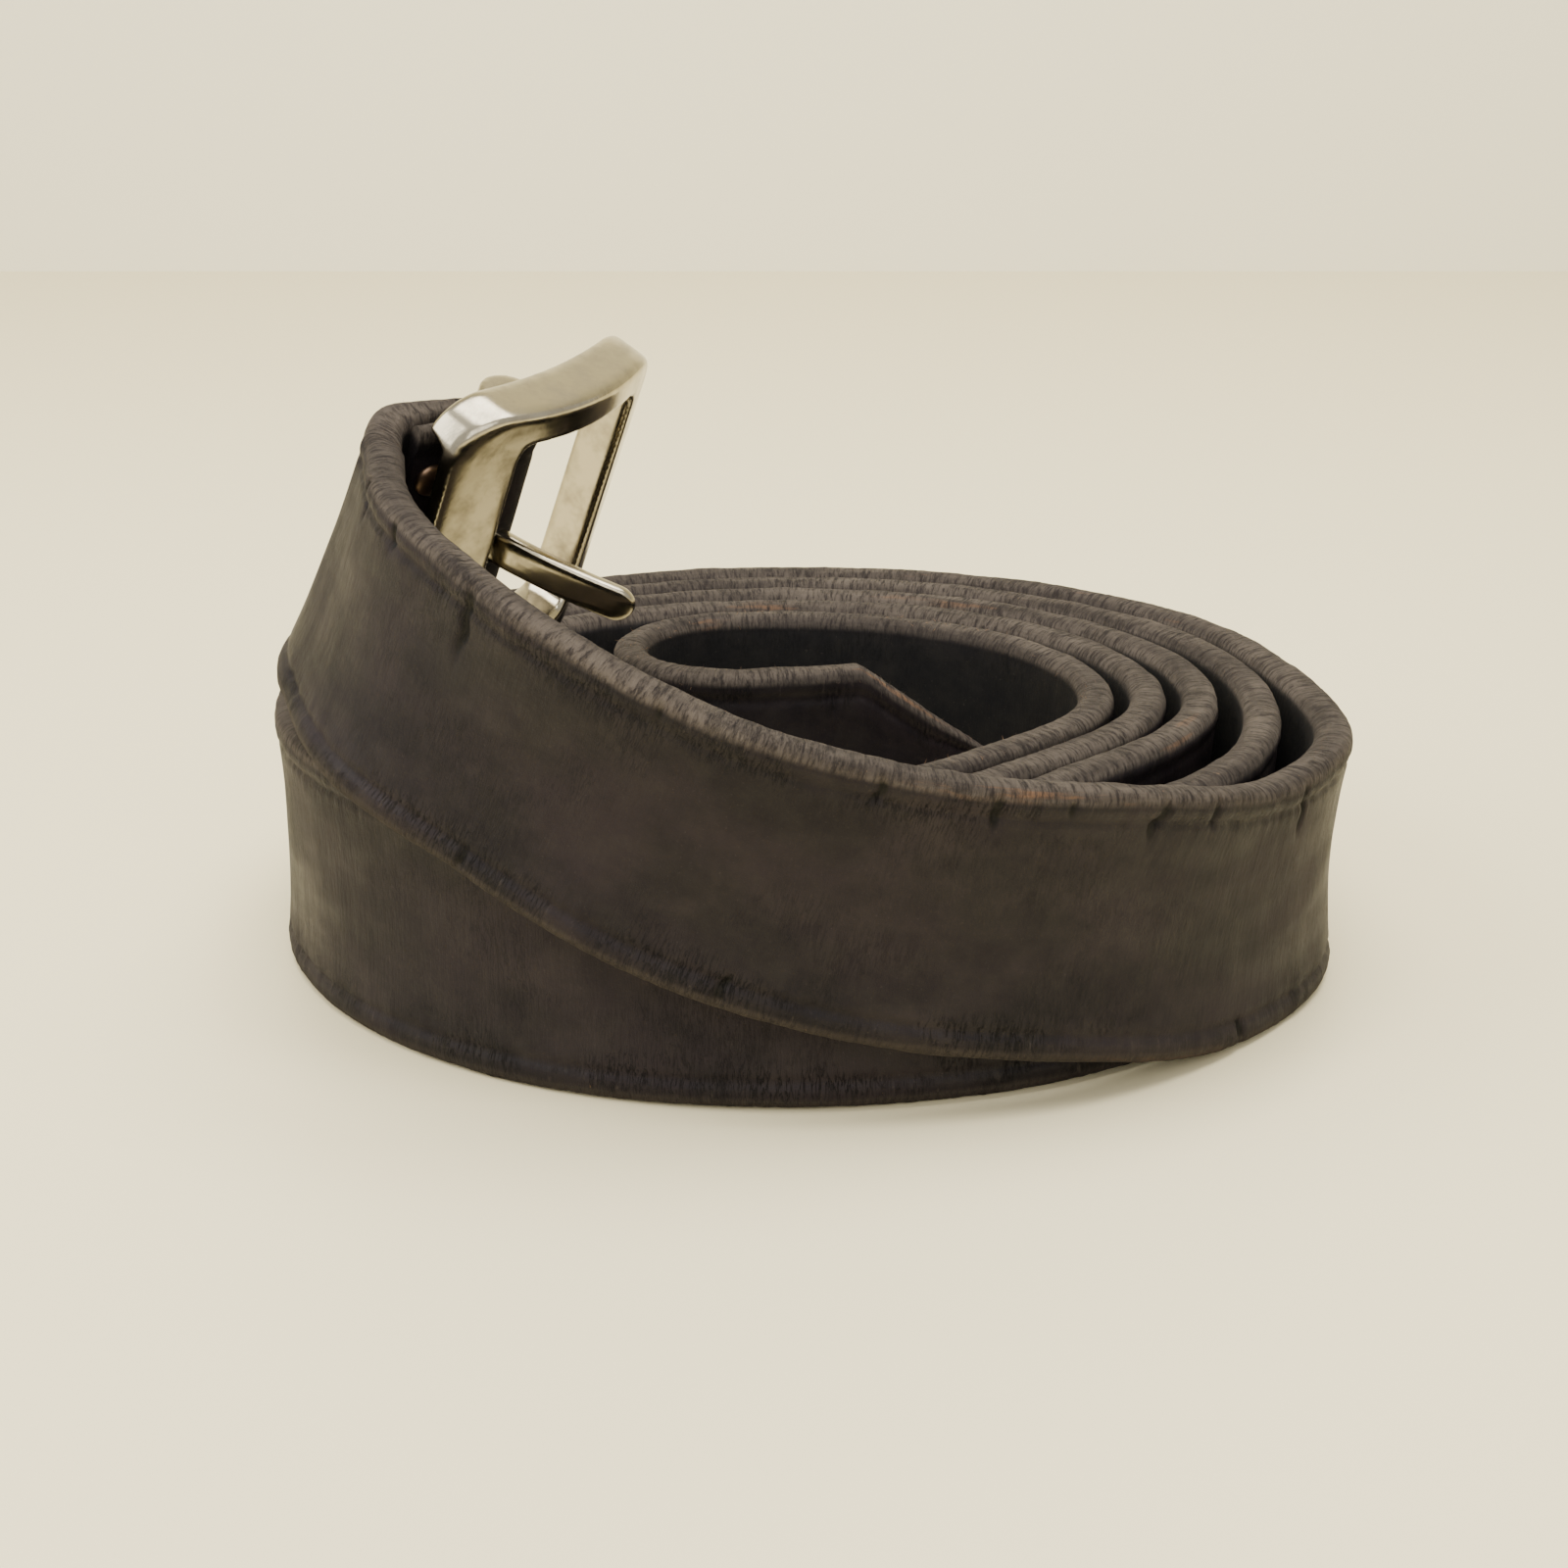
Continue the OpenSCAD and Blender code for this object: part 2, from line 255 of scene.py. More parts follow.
# %% The climbing part of the route
def climbing_route(step):
    """Points, tangents and leans from the spiral's end to the fold."""
    last = roll_pt(ROLL_STOP)
    head = roll_heading(ROLL_STOP)
    first_dir = np.array([cosd(head), sind(head), 0.0])
    points = np.array([[*last, STRAP_W / 2]] + [s[:3] for s in STATIONS] + [wrap_end])
    level = upright(END_X[None])[0]
    end_lean = math.degrees(math.atan2(END_Z @ np.cross(END_X, level), END_Z @ level))
    leans = np.array([0.0] + [s[3] for s in STATIONS] + [end_lean])
    gaps = np.linalg.norm(np.diff(points, axis=0), axis=1)

    def slope(v, i):
        ahead, behind = (v[i + 1] - v[i]) / gaps[i], (v[i] - v[i - 1]) / gaps[i - 1]
        return (ahead * gaps[i - 1] + behind * gaps[i]) / (gaps[i - 1] + gaps[i])

    inner = range(1, len(points) - 1)
    runs = [first_dir] + [slope(points, i) for i in inner] + [END_X]
    rates = [0.0] + [slope(leans, i) for i in inner] + [0.0]
    spots, tilts = [], []
    for i, g in enumerate(gaps):
        u = np.linspace(0, 1, max(3, int(g / step)))[1 if i else 0:]
        blend = [1 + u * u * (2 * u - 3), u * u * (3 - 2 * u),
                 g * u * (1 - u) ** 2, g * u * u * (u - 1)]
        spots.append(sum(b[:, None] * k for b, k in
                         zip(blend, (points[i], points[i + 1], runs[i], runs[i + 1]))))
        tilts.append(sum(b * k for b, k in zip(blend, (leans[i], leans[i + 1],
                                                       rates[i], rates[i + 1]))))
    spots, tilts = np.vstack(spots), np.concatenate(tilts)
    tangents = unit(np.gradient(spots, axis=0))
    tangents[0], tangents[-1] = first_dir, END_X
    return spots, tangents, tilts


# %% [markdown]
# ## One section, swept along the route
# Real single-layer leather has a flat grain side, worn round edges and a suede flesh side. Its
# edges flare a little outwards after years of being worn and rolled, and a tooled crease line
# runs along each edge. The section is a ring of points, dense where the crease and the round
# edges need them. It is swept in code, because each ring also needs its own width at the tip,
# its own thickness at the fold, and the attributes that the leather's pattern follows.


# %% Smooth noise for dents, from a fixed hash
def hash_grid(ix, iy, seed):
    """A repeatable number from -1 to 1 for each whole-numbered place."""
    h = (ix.astype(np.int64) * 374761393 + iy.astype(np.int64) * 668265263
         + seed * 974711) & 0xFFFFFFFF
    h = ((h ^ (h >> 13)) * 1274126177) & 0xFFFFFFFF
    return ((h ^ (h >> 16)) & 0xFFFF) / 32767.5 - 1.0


def noise(x, y, seed):
    """Smooth noise from -1 to 1, with dents about one unit wide."""
    ix, iy = np.floor(x), np.floor(y)
    fx, fy = x - ix, y - iy
    fx, fy = fx * fx * (3 - 2 * fx), fy * fy * (3 - 2 * fy)
    near = hash_grid(ix, iy, seed) * (1 - fx) + hash_grid(ix + 1, iy, seed) * fx
    far = hash_grid(ix, iy + 1, seed) * (1 - fx) + hash_grid(ix + 1, iy + 1, seed) * fx
    return near * (1 - fy) + far * fy


def smooth(a, b, x):
    u = np.clip((x - a) / (b - a), 0, 1)
    return u * u * (3 - 2 * u)


# %% The section
HALF_W, HALF_T, EDGE_R = STRAP_W / 2, STRAP_T / 2, 1.9
CREASE_IN = 3.1
EDGE_BAND, TIP_BAND_SHARE = 5.0, 0.6


def section(grain_points, edge_points, flesh_points):
    """Ring of (across, through) in mm, from the lower grain edge up, over and back down."""
    flat = HALF_W - EDGE_R
    grain = np.linspace(-flat, flat, grain_points)
    grain = np.sign(grain) * flat * (np.abs(grain) / flat) ** 0.8
    turn = np.linspace(0, np.pi, edge_points + 2)[1:-1]
    round_v = flat + EDGE_R * np.sin(turn) ** 0.8
    round_w = HALF_T * np.sign(np.cos(turn)) * np.abs(np.cos(turn)) ** 0.8
    flesh = np.linspace(flat, -flat, flesh_points)
    v = np.concatenate([grain, round_v, flesh, -round_v[::-1]])
    w = np.concatenate([np.full(len(grain), HALF_T), round_w,
                        np.full(len(flesh), -HALF_T), round_w[::-1]])
    return v, w


def half_width(s):
    """Half the strap's width at distance s from its tip."""
    return np.minimum(HALF_W, TIP_BLUNT / 2 + (HALF_W - TIP_BLUNT / 2) * s / TIP_LEN)


def narrow(v, s):
    """Across position at distance s, which keeps the crease parallel to the pointed end."""
    half = half_width(s)
    band = np.minimum(EDGE_BAND, TIP_BAND_SHARE * half)
    inset = HALF_W - np.abs(v)
    outer = half - inset * band / EDGE_BAND
    inner = np.abs(v) * (half - band) / (HALF_W - EDGE_BAND)
    return np.sign(v) * np.where(inset < EDGE_BAND, outer, inner)


# %% [markdown]
# Wear is partly real shape: the crease, shallow ripples, a few deep splits that start at an
# edge, and a plain tooled oval and bar on the outermost turn.

# %% Shape of the grain side
# Splits in the climbing turn: distance along the strap, which edge, length, width
SPLITS = [(1278, 1, 8, 0.5), (1284, -1, 4, 0.4), (1296, 1, 4, 0.35), (1303, 1, 6, 0.45),
          (1312, 1, 3.5, 0.35), (1319, 1, 5.5, 0.5), (1331, 1, 4.5, 0.4), (1338, -1, 5, 0.4),
          (1352, 1, 3, 0.3), (1371, 1, 10, 0.45), (1364, -1, 4, 0.4), (1383, 1, 5, 0.4),
          (1258, 1, 4, 0.4), (1249, -1, 5, 0.4), (1236, 1, 4, 0.35), (1391, 1, 6, 0.4)]
OVAL_AT, OVAL_SIZE = 1118.0, (9.0, 6.5)
BAR_AT, BAR_SIZE = 1142.0, (7.0, 0.8)


def groove(distance, width, depth):
    return -depth * np.exp(-(distance / width) ** 2)


def split_mask(s, v):
    """Where the grain has split through, from 0 to 1, at distance s and across v."""
    mask = 0 * s
    for at, edge, length, width in SPLITS:
        wander = 0.5 * noise(v / 1.7, np.full_like(v, at), 6) + 0.02 * (HALF_W - edge * v)
        reach = 1 - smooth(length * 0.5, length, HALF_W - edge * v)
        mask = np.maximum(mask, np.exp(-((s - at - wander) / width) ** 2) * reach)
    return mask


def grain_relief(s, v):
    """How far the grain side stands out, in mm, at distance s and across v."""
    side = np.abs(v)
    near_edge = smooth(7.5, 12.5, side)
    relief = groove(side - (HALF_W - CREASE_IN), 0.4, 0.24) + 0.10 * smooth(11.0, 12.0, side)
    relief += (0.025 + 0.075 * near_edge) * noise(s / 0.9, v / 3.5, 3)
    relief += 0.05 * noise(s / 2.6, v / 7.0, 4) + 0.10 * noise(s / 9.0, v / 9.0, 5)
    relief -= 0.6 * split_mask(s, v)
    oval = np.hypot((s - OVAL_AT) / OVAL_SIZE[0], v / OVAL_SIZE[1]) - 1
    relief += groove(oval * OVAL_SIZE[1], 0.45, 0.30)
    bar = np.maximum(np.abs(s - BAR_AT) - BAR_SIZE[0], np.abs(v) - BAR_SIZE[1])
    return relief - 0.28 * (1 - smooth(-0.4, 0.3, bar))


def edge_relief(s, v, w):
    return 0.05 * noise(s / 0.7, w / 1.5 + v, 7) + 0.12 * noise(s / 4.0, w + v, 8)


# %% Sweep
def sweep(name, stations, ring, material, flare):
    """A closed strip: stations is (point, across, normal, distance, thickness) arrays."""
    points, across, normals, dist, thick = stations
    v0, w0 = ring
    s = dist[:, None] + 0 * v0[None]
    v = narrow(v0[None], s)
    w = w0[None] * (thick / STRAP_T)[:, None]
    on_grain = smooth(0.8, 1.9, w0)[None] * np.ones_like(s)
    edge = smooth(HALF_W - EDGE_R - 0.5, HALF_W - 0.3, np.abs(v0))[None] * np.ones_like(s)
    bow = flare[:, None] * ((np.abs(v0[None]) / HALF_W) ** 2.2 - 0.25)
    out = w + bow + on_grain * grain_relief(s, v0[None] + 0 * s) * (1 - 0.7 * edge)
    wide = v + np.sign(v0)[None] * edge * edge_relief(s, v0[None], w0[None])
    spots = (points[:, None] + wide[..., None] * across[:, None]
             + out[..., None] * normals[:, None] + ROLL_AT)
    spots[..., 2] = np.maximum(spots[..., 2], 0.02)
    rings, count = s.shape
    index = np.arange(rings * count).reshape(rings, count)
    nxt = np.roll(index, -1, axis=1)
    quads = np.stack([index[:-1], index[1:], nxt[1:], nxt[:-1]], -1).reshape(-1, 4)
    faces = quads.tolist() + [index[0].tolist(), index[-1][::-1].tolist()]
    mesh = bpy.data.meshes.new(name)
    mesh.from_pydata((spots.reshape(-1, 3) * MM).tolist(), [], faces)
    place = np.stack([s, v0[None] + 0 * s, w0[None] + 0 * s], -1)
    mesh.attributes.new("strap_place", "FLOAT_VECTOR", "POINT").data.foreach_set(
        "vector", place.ravel().astype(np.float32))
    flesh = smooth(0.5, -1.2, w0)[None] * (1 - edge)
    split = split_mask(s, v0[None] + 0 * s) * smooth(-0.5, 1.0, w0)[None]
    for word, values in (("edge", edge), ("flesh", flesh), ("split", split)):
        mesh.attributes.new(word, "FLOAT", "POINT").data.foreach_set(
            "value", values.ravel().astype(np.float32))
    mesh.polygons.foreach_set("use_smooth", [True] * len(quads) + [False, False])
    mesh.update()
    ends = np.zeros(rings * count, bool)
    ends[index[0]] = ends[index[-1]] = True
    pairs = np.zeros(len(mesh.edges) * 2, np.int32)
    mesh.edges.foreach_get("vertices", pairs)
    sharp = ends[pairs.reshape(-1, 2)].all(axis=1)
    mesh.attributes.new("sharp_edge", "BOOLEAN", "EDGE").data.foreach_set("value", sharp)
    made = new_object(name, mesh, material)
    print(f"{name}: {rings} rings of {count}, {2 * len(quads)} triangles")
    return made

# %% [markdown]
# ## Finishes
# Grain, cracks and wear are made by noise that reads the strap's own place attribute (distance
# along, across and through, in millimetres), so wrinkles always run across the strap, whichever
# way it turns. Grime is one shader group that leather and metal share.


# %% Grime, a shared group
def grime_group():
    """Blends a dirt colour over a colour in soft spots, and roughens them."""
    tree = bpy.data.node_groups.new("surface_grime", "ShaderNodeTree")
    face = tree.interface
    for name, kind in (("Colour", "NodeSocketColor"), ("Dirt", "NodeSocketColor"),
                       ("Place", "NodeSocketVector"), ("Scale", "NodeSocketFloat"),
                       ("Amount", "NodeSocketFloat"), ("Roughness", "NodeSocketFloat")):
        face.new_socket(name, in_out="INPUT", socket_type=kind)
    face.new_socket("Colour", in_out="OUTPUT", socket_type="NodeSocketColor")
    face.new_socket("Roughness", in_out="OUTPUT", socket_type="NodeSocketFloat")
    start, end = add(tree, "NodeGroupInput"), add(tree, "NodeGroupOutput")
    spots = add(tree, "ShaderNodeTexNoise")
    spots.inputs["Detail"].default_value = 6.0
    spots.inputs["Roughness"].default_value = 0.65
    link(tree, start.outputs["Place"], spots.inputs["Vector"])
    link(tree, start.outputs["Scale"], spots.inputs["Scale"])
    mask = add(tree, "ShaderNodeMapRange")
    mask.inputs["From Min"].default_value = 0.42
    mask.inputs["From Max"].default_value = 0.68
    link(tree, spots.outputs["Fac"], mask.inputs["Value"])
    amount = add(tree, "ShaderNodeMath", operation="MULTIPLY")
    link(tree, mask.outputs["Result"], amount.inputs[0])
    link(tree, start.outputs["Amount"], amount.inputs[1])
    mixed = add(tree, "ShaderNodeMix", data_type="RGBA")
    link(tree, amount.outputs[0], mixed.inputs["Factor"])
    link(tree, start.outputs["Colour"], mixed.inputs["A"])
    link(tree, start.outputs["Dirt"], mixed.inputs["B"])
    rough = add(tree, "ShaderNodeMath", operation="MULTIPLY_ADD", use_clamp=True)
    link(tree, amount.outputs[0], rough.inputs[0])
    rough.inputs[1].default_value = 0.25
    link(tree, start.outputs["Roughness"], rough.inputs[2])
    link(tree, mixed.outputs["Result"], end.inputs["Colour"])
    link(tree, rough.outputs[0], end.inputs["Roughness"])
    return tree


GRIME = grime_group()


# %% Node shorthands for materials
def scaled(tree, vector, factors):
    made = add(tree, "ShaderNodeVectorMath", operation="MULTIPLY")
    link(tree, vector, made.inputs[0])
    made.inputs[1].default_value = factors
    return made.outputs[0]


def noise_node(tree, vector, factors, detail=4.0, roughness=0.6):
    made = add(tree, "ShaderNodeTexNoise")
    made.inputs["Scale"].default_value = 1.0
    made.inputs["Detail"].default_value = detail
    made.inputs["Roughness"].default_value = roughness
    link(tree, scaled(tree, vector, factors), made.inputs["Vector"])
    return made.outputs["Fac"]


def ranged(tree, value, low, high, to_low=0.0, to_high=1.0):
    made = add(tree, "ShaderNodeMapRange", interpolation_type="SMOOTHSTEP")
    link(tree, value, made.inputs["Value"])
    for name, number in (("From Min", low), ("From Max", high), ("To Min", to_low),
                         ("To Max", to_high)):
        made.inputs[name].default_value = number
    return made.outputs["Result"]


def math_node(tree, operation, *values):
    made = add(tree, "ShaderNodeMath", operation=operation)
    for socket, value in zip(made.inputs, values):
        if isinstance(value, (int, float)):
            socket.default_value = value
        else:
            link(tree, value, socket)
    return made.outputs[0]


def mix(tree, factor, a, b):
    made = add(tree, "ShaderNodeMix", data_type="RGBA")
    for name, value in (("Factor", factor), ("A", a), ("B", b)):
        if isinstance(value, tuple):
            made.inputs[name].default_value = (*value, 1.0)
        elif isinstance(value, float):
            made.inputs[name].default_value = value
        else:
            link(tree, value, made.inputs[name])
    return made.outputs["Result"]


def attribute(tree, name, output="Fac"):
    return add(tree, "ShaderNodeAttribute", attribute_name=name).outputs[output]


# %% Worn strap leather
GRAIN_DARK = (0.0055, 0.0038, 0.0052)
GRAIN_BROWN = (0.0145, 0.0100, 0.0120)
GRAIN_PALE = (0.070, 0.056, 0.056)
EDGE_GREY = (0.098, 0.080, 0.064)
EDGE_DARK = (0.020, 0.0155, 0.014)
RAW_TAN = (0.17, 0.085, 0.040)
SUEDE = (0.0060, 0.0058, 0.0062)
SUEDE_FLECK = (0.035, 0.030, 0.026)
CRACK = (0.0015, 0.0012, 0.0012)


def leather_material():
    material = bpy.data.materials.new("worn_brown_leather")
    material.use_nodes = True
    tree = material.node_tree
    shader = tree.nodes["Principled BSDF"]
    place = attribute(tree, "strap_place", "Vector")
    edge, flesh = attribute(tree, "edge"), attribute(tree, "flesh")
    split = add(tree, "ShaderNodeSeparateXYZ")
    link(tree, place, split.inputs[0])
    side = math_node(tree, "ABSOLUTE", split.outputs["Y"])
    near_edge = ranged(tree, side, 7.0, 12.5)

    # Grain: blotches, pale specks and fine wrinkles that run across
    blotch = noise_node(tree, place, (0.06, 0.09, 0.3), 5.0)
    fine = noise_node(tree, place, (1.6, 1.6, 1.6), 6.0, 0.7)
    grain = mix(tree, ranged(tree, blotch, 0.35, 0.68), GRAIN_DARK, GRAIN_BROWN)
    speck = ranged(tree, noise_node(tree, place, (3.4, 2.6, 3.0), 3.0, 0.7), 0.60, 0.80, 0.0, 0.40)
    grain = mix(tree, speck, grain, GRAIN_PALE)
    wrinkle = noise_node(tree, place, (2.3, 0.33, 0.8), 6.0, 0.62)
    fold_line = math_node(tree, "ABSOLUTE", math_node(tree, "SUBTRACT", wrinkle, 0.5))
    line = ranged(tree, fold_line, 0.0, 0.035, 1.0, 0.0)
    patch = ranged(tree, noise_node(tree, place, (0.11, 0.16, 0.3), 3.0), 0.40, 0.62)
    reach = math_node(tree, "MULTIPLY", patch, ranged(tree, near_edge, 0.0, 1.0, 0.30, 1.0))
    cracks = math_node(tree, "MULTIPLY", line, reach)
    grain = mix(tree, math_node(tree, "MULTIPLY", cracks, 0.85), grain, CRACK)
    scuff = ranged(tree, noise_node(tree, place, (0.9, 0.25, 0.5), 6.0, 0.72), 0.55, 0.72)
    rub = math_node(tree, "MULTIPLY", scuff, ranged(tree, side, 10.6, 12.6, 0.0, 0.5))
    grain = mix(tree, rub, grain, EDGE_GREY)
    grain = mix(tree, ranged(tree, attribute(tree, "split"), 0.15, 0.6), grain, CRACK)

    # Edge: short cracks across it and patches of raw fibre; pale on top and dark below, which is
    # painted light and shade from the lamps above
    edge_noise = noise_node(tree, place, (2.4, 0.55, 0.45), 8.0, 0.72)
    edge_mask = ranged(tree, edge_noise, 0.36, 0.58)
    tone = ranged(tree, noise_node(tree, place, (0.05, 0.5, 0.35), 4.0), 0.30, 0.70, 0.35, 1.0)
    # Painted shade: the edge colour goes from full on the upper edge to dark on the lower edge,
    # which faces the floor
    painted_edge_shade = ranged(tree, split.outputs["Y"], -2.0, 2.0, 0.22, 1.0)
    tone = math_node(tree, "MULTIPLY", tone, painted_edge_shade)
    edge_colour = mix(tree, math_node(tree, "MULTIPLY", edge_mask, tone), EDGE_DARK, EDGE_GREY)
    raw = ranged(tree, noise_node(tree, place, (0.028, 0.06, 0.35), 5.0, 0.65), 0.62, 0.70)
    # Raw fibre patches also fade with the painted shade towards the lower edge
    raw = math_node(tree, "MULTIPLY", math_node(tree, "MULTIPLY", raw, edge_mask), painted_edge_shade)
    edge_colour = mix(tree, math_node(tree, "MULTIPLY", raw, 0.65), edge_colour, RAW_TAN)

    # Flesh side: charcoal suede with pale flecks
    fleck = ranged(tree, noise_node(tree, place, (2.8, 2.8, 2.8), 2.0), 0.66, 0.78, 0.0, 0.7)
    suede = mix(tree, fleck, SUEDE, SUEDE_FLECK)
    colour = mix(tree, flesh, grain, suede)
    colour = mix(tree, ranged(tree, edge, 0.25, 0.75), colour, edge_colour)

    sheen_patch = noise_node(tree, place, (0.05, 0.12, 0.2), 3.0)
    grain_rough = ranged(tree, sheen_patch, 0.35, 0.70, 0.62, 0.44)
    rough = add(tree, "ShaderNodeMix", data_type="FLOAT")
    link(tree, math_node(tree, "MAXIMUM", edge, flesh), rough.inputs["Factor"])
    link(tree, grain_rough, rough.inputs["A"])
    rough.inputs["B"].default_value = 0.86
    dirt = add(tree, "ShaderNodeGroup")
    dirt.node_tree = GRIME
    dirt.inputs["Dirt"].default_value = (0.050, 0.043, 0.033, 1.0)
    dirt.inputs["Scale"].default_value = 0.32
    dirt.inputs["Amount"].default_value = 0.12
    link(tree, place, dirt.inputs["Place"])
    link(tree, colour, dirt.inputs["Colour"])
    link(tree, rough.outputs["Result"], dirt.inputs["Roughness"])
    link(tree, dirt.outputs["Colour"], shader.inputs["Base Color"])
    link(tree, dirt.outputs["Roughness"], shader.inputs["Roughness"])
    shader.inputs["Specular IOR Level"].default_value = 0.17

    height = math_node(tree, "MULTIPLY_ADD", fine, 0.35, math_node(tree, "MULTIPLY", wrinkle, 0.5))
    height = math_node(tree, "SUBTRACT", height, math_node(tree, "MULTIPLY", cracks, 0.5))
    rim = math_node(tree, "MULTIPLY", math_node(tree, "MULTIPLY", edge_noise, edge), 2.0)
    height = math_node(tree, "ADD", height, rim)
    bump = add(tree, "ShaderNodeBump")
    bump.inputs["Strength"].default_value = 0.9
    bump.inputs["Distance"].default_value = 0.00022
    link(tree, height, bump.inputs["Height"])
    link(tree, bump.outputs["Normal"], shader.inputs["Normal"])
    return material


leather = leather_material()
print("leather nodes", len(leather.node_tree.nodes))


# %% Aged nickel
def metal_material(name, colour, tarnish, roughness):
    material = bpy.data.materials.new(name)
    material.use_nodes = True
    tree = material.node_tree
    shader = tree.nodes["Principled BSDF"]
    place = add(tree, "ShaderNodeTexCoord").outputs["Object"]
    dirt = add(tree, "ShaderNodeGroup")
    dirt.node_tree = GRIME
    dirt.inputs["Colour"].default_value = (*colour, 1.0)
    dirt.inputs["Dirt"].default_value = (*tarnish, 1.0)
    dirt.inputs["Scale"].default_value = 330.0
    dirt.inputs["Amount"].default_value = 0.45
    dirt.inputs["Roughness"].default_value = roughness
    link(tree, place, dirt.inputs["Place"])
    link(tree, dirt.outputs["Colour"], shader.inputs["Base Color"])
    link(tree, dirt.outputs["Roughness"], shader.inputs["Roughness"])
    shader.inputs["Metallic"].default_value = 1.0
    scratch = noise_node(tree, place, (900.0, 5000.0, 900.0), 3.0)
    dent = noise_node(tree, place, (260.0, 260.0, 260.0), 3.0)
    bump = add(tree, "ShaderNodeBump")
    bump.inputs["Strength"].default_value = 0.25
    bump.inputs["Distance"].default_value = 0.00008
    link(tree, math_node(tree, "MULTIPLY_ADD", scratch, 0.3, dent), bump.inputs["Height"])
    link(tree, bump.outputs["Normal"], shader.inputs["Normal"])
    return material


nickel = metal_material("aged_nickel", (0.43, 0.385, 0.285), (0.11, 0.09, 0.06), 0.16)
pin_steel = metal_material("pin_steel", (0.36, 0.33, 0.27), (0.11, 0.09, 0.07), 0.28)
copper = metal_material("rivet_copper", (0.26, 0.17, 0.11), (0.08, 0.055, 0.04), 0.35)

# %% [markdown]
# ## Build the strap
# The strip is cut into five pieces, as the CAD nodes are, only so that each mesh stays small.
# The pieces on the outside, which are seen closest, get the finest rings.


# %% Stations for each stretch
ROUTE_STEP = 0.25


def flat_stations(low, high, step):
    """Even stations of the flat route, from one angle of the spiral (or the tip) to another."""
    spots, headings, marks = flat_route(ROUTE_STEP)
    run = np.concatenate([[0], np.cumsum(np.linalg.norm(np.diff(spots, axis=0), axis=1))])
    first = 0.0 if low < ROLL_START else np.interp(low, marks, run)
    last = np.interp(high, marks, run)
    even = np.linspace(first, last, int((last - first) / step) + 2)
    points = np.column_stack([np.interp(even, run, spots[:, 0]), np.interp(even, run, spots[:, 1]),
                              np.full(len(even), STRAP_W / 2)])
    side = left_of(headings)
    normals = unit(np.column_stack([np.interp(even, run, side[:, 0]),
                                    np.interp(even, run, side[:, 1]), 0 * even]))
    across = np.tile([0.0, 0.0, 1.0], (len(even), 1))
    return points, across, normals, even, np.full(len(even), STRAP_T)


def strap_length_to(mark):
    return flat_stations(0, mark, 0.5)[3][-1]


ROLL_LEN = strap_length_to(ROLL_STOP)
FLARE = 0.75
outer_ring, fine_ring, inner_ring = section(49, 11, 15), section(55, 13, 17), section(35, 9, 13)
print("strap to the end of the roll", round(ROLL_LEN, 1), "mm")

# %% Inner stretches
CUTS = (330.0, 960.0, 1230.0, ROLL_STOP)
inner = flat_stations(0, CUTS[0], 0.7)
hole_end = sweep("belt_hole_end", inner, inner_ring, leather,
                 FLARE * smooth(20, 90, inner[3]))
middle = flat_stations(CUTS[0], CUTS[1], 0.75)
middle_turns = sweep("belt_middle_turns", middle, inner_ring, leather,
                     np.full(len(middle[0]), FLARE))
third = flat_stations(CUTS[1], CUTS[2], 0.6)
third_turn = sweep("belt_third_turn", third, outer_ring, leather,
                   np.full(len(third[0]), FLARE))
outer = flat_stations(CUTS[2], CUTS[3], 0.42)
outer_turn = sweep("belt_outer_turn", outer, outer_ring, leather,
                   np.full(len(outer[0]), FLARE))

# %% Climbing turn
spots, tangents, leans = climbing_route(0.34)
across = across_run(tangents, leans)
run = ROLL_LEN + np.concatenate([[0], np.cumsum(np.linalg.norm(np.diff(spots, axis=0), axis=1))])
climb = (spots, across, -np.cross(tangents, across), run, np.full(len(spots), STRAP_T))
climb_flare = FLARE + 0.5 * smooth(ROLL_LEN + 10, ROLL_LEN + 60, run) * (
    1 - smooth(run[-1] - 25, run[-1] - 6, run))
climb_flare *= 1 - smooth(run[-1] - 14, run[-1], run)
climbing_turn = sweep("belt_climbing_turn", climb, fine_ring, leather, climb_flare)
print("strap to the fold", round(float(run[-1]), 1), "mm")

# %% [markdown]
# At the buckle the strap is pared thin, goes round the pin, and its end lies on its own flesh
# side. A slot lets the prong through. The slot and the adjusting holes are cut after the sweep.


# %% Pin loop
def loop_stations(step_deg):
    """Centre line, thickness and turn of the fold, in the plane across the pin."""
    mid, thin = (fold_r + grain_y) / 2, FOLD_T
    line = [(-10, grain_y - 2, STRAP_T, 0)]
    for x in np.arange(-9.5, 0, 0.5):
        flesh = flesh_y + min(1.0, (x + 10) / 6) * (fold_r - flesh_y)
        line.append((x, (grain_y + flesh) / 2, grain_y - flesh, 0))
    for turn in np.arange(0, 181, step_deg):
        line.append((mid * sind(turn), mid * cosd(turn), thin, -turn))
    tail = [(0, -mid, thin), (-3, -1.75, 2.5), (-6.2, -0.65, 2.7), (-10, -1.02, 2.0)]
    tx, ty, tt = np.array(tail).T
    for x in np.arange(-0.5, -10.6, -0.5):
        y, t = np.interp(-x, -tx, ty), np.interp(-x, -tx, tt)
        tilt = math.degrees(math.atan2(np.interp(-x + 0.5, -tx, ty)
                                       - np.interp(-x - 0.5, -tx, ty), -1.0))
        line.append((x, y, t, -180 - (tilt - 180 if tilt > 0 else tilt + 180) * 0.5))
    line = np.array(line)
    points = PIN_AT + line[:, :1] * END_X + line[:, 1:2] * END_Y
    heads = line[:, 3]
    normals = -sind(heads)[:, None] * END_X + cosd(heads)[:, None] * END_Y
    gone = np.linalg.norm(np.diff(points, axis=0), axis=1)
    dist = run[-1] + np.concatenate([[0], np.cumsum(gone)])
    return points, np.tile(END_Z, (len(line), 1)), normals, dist, line[:, 2]


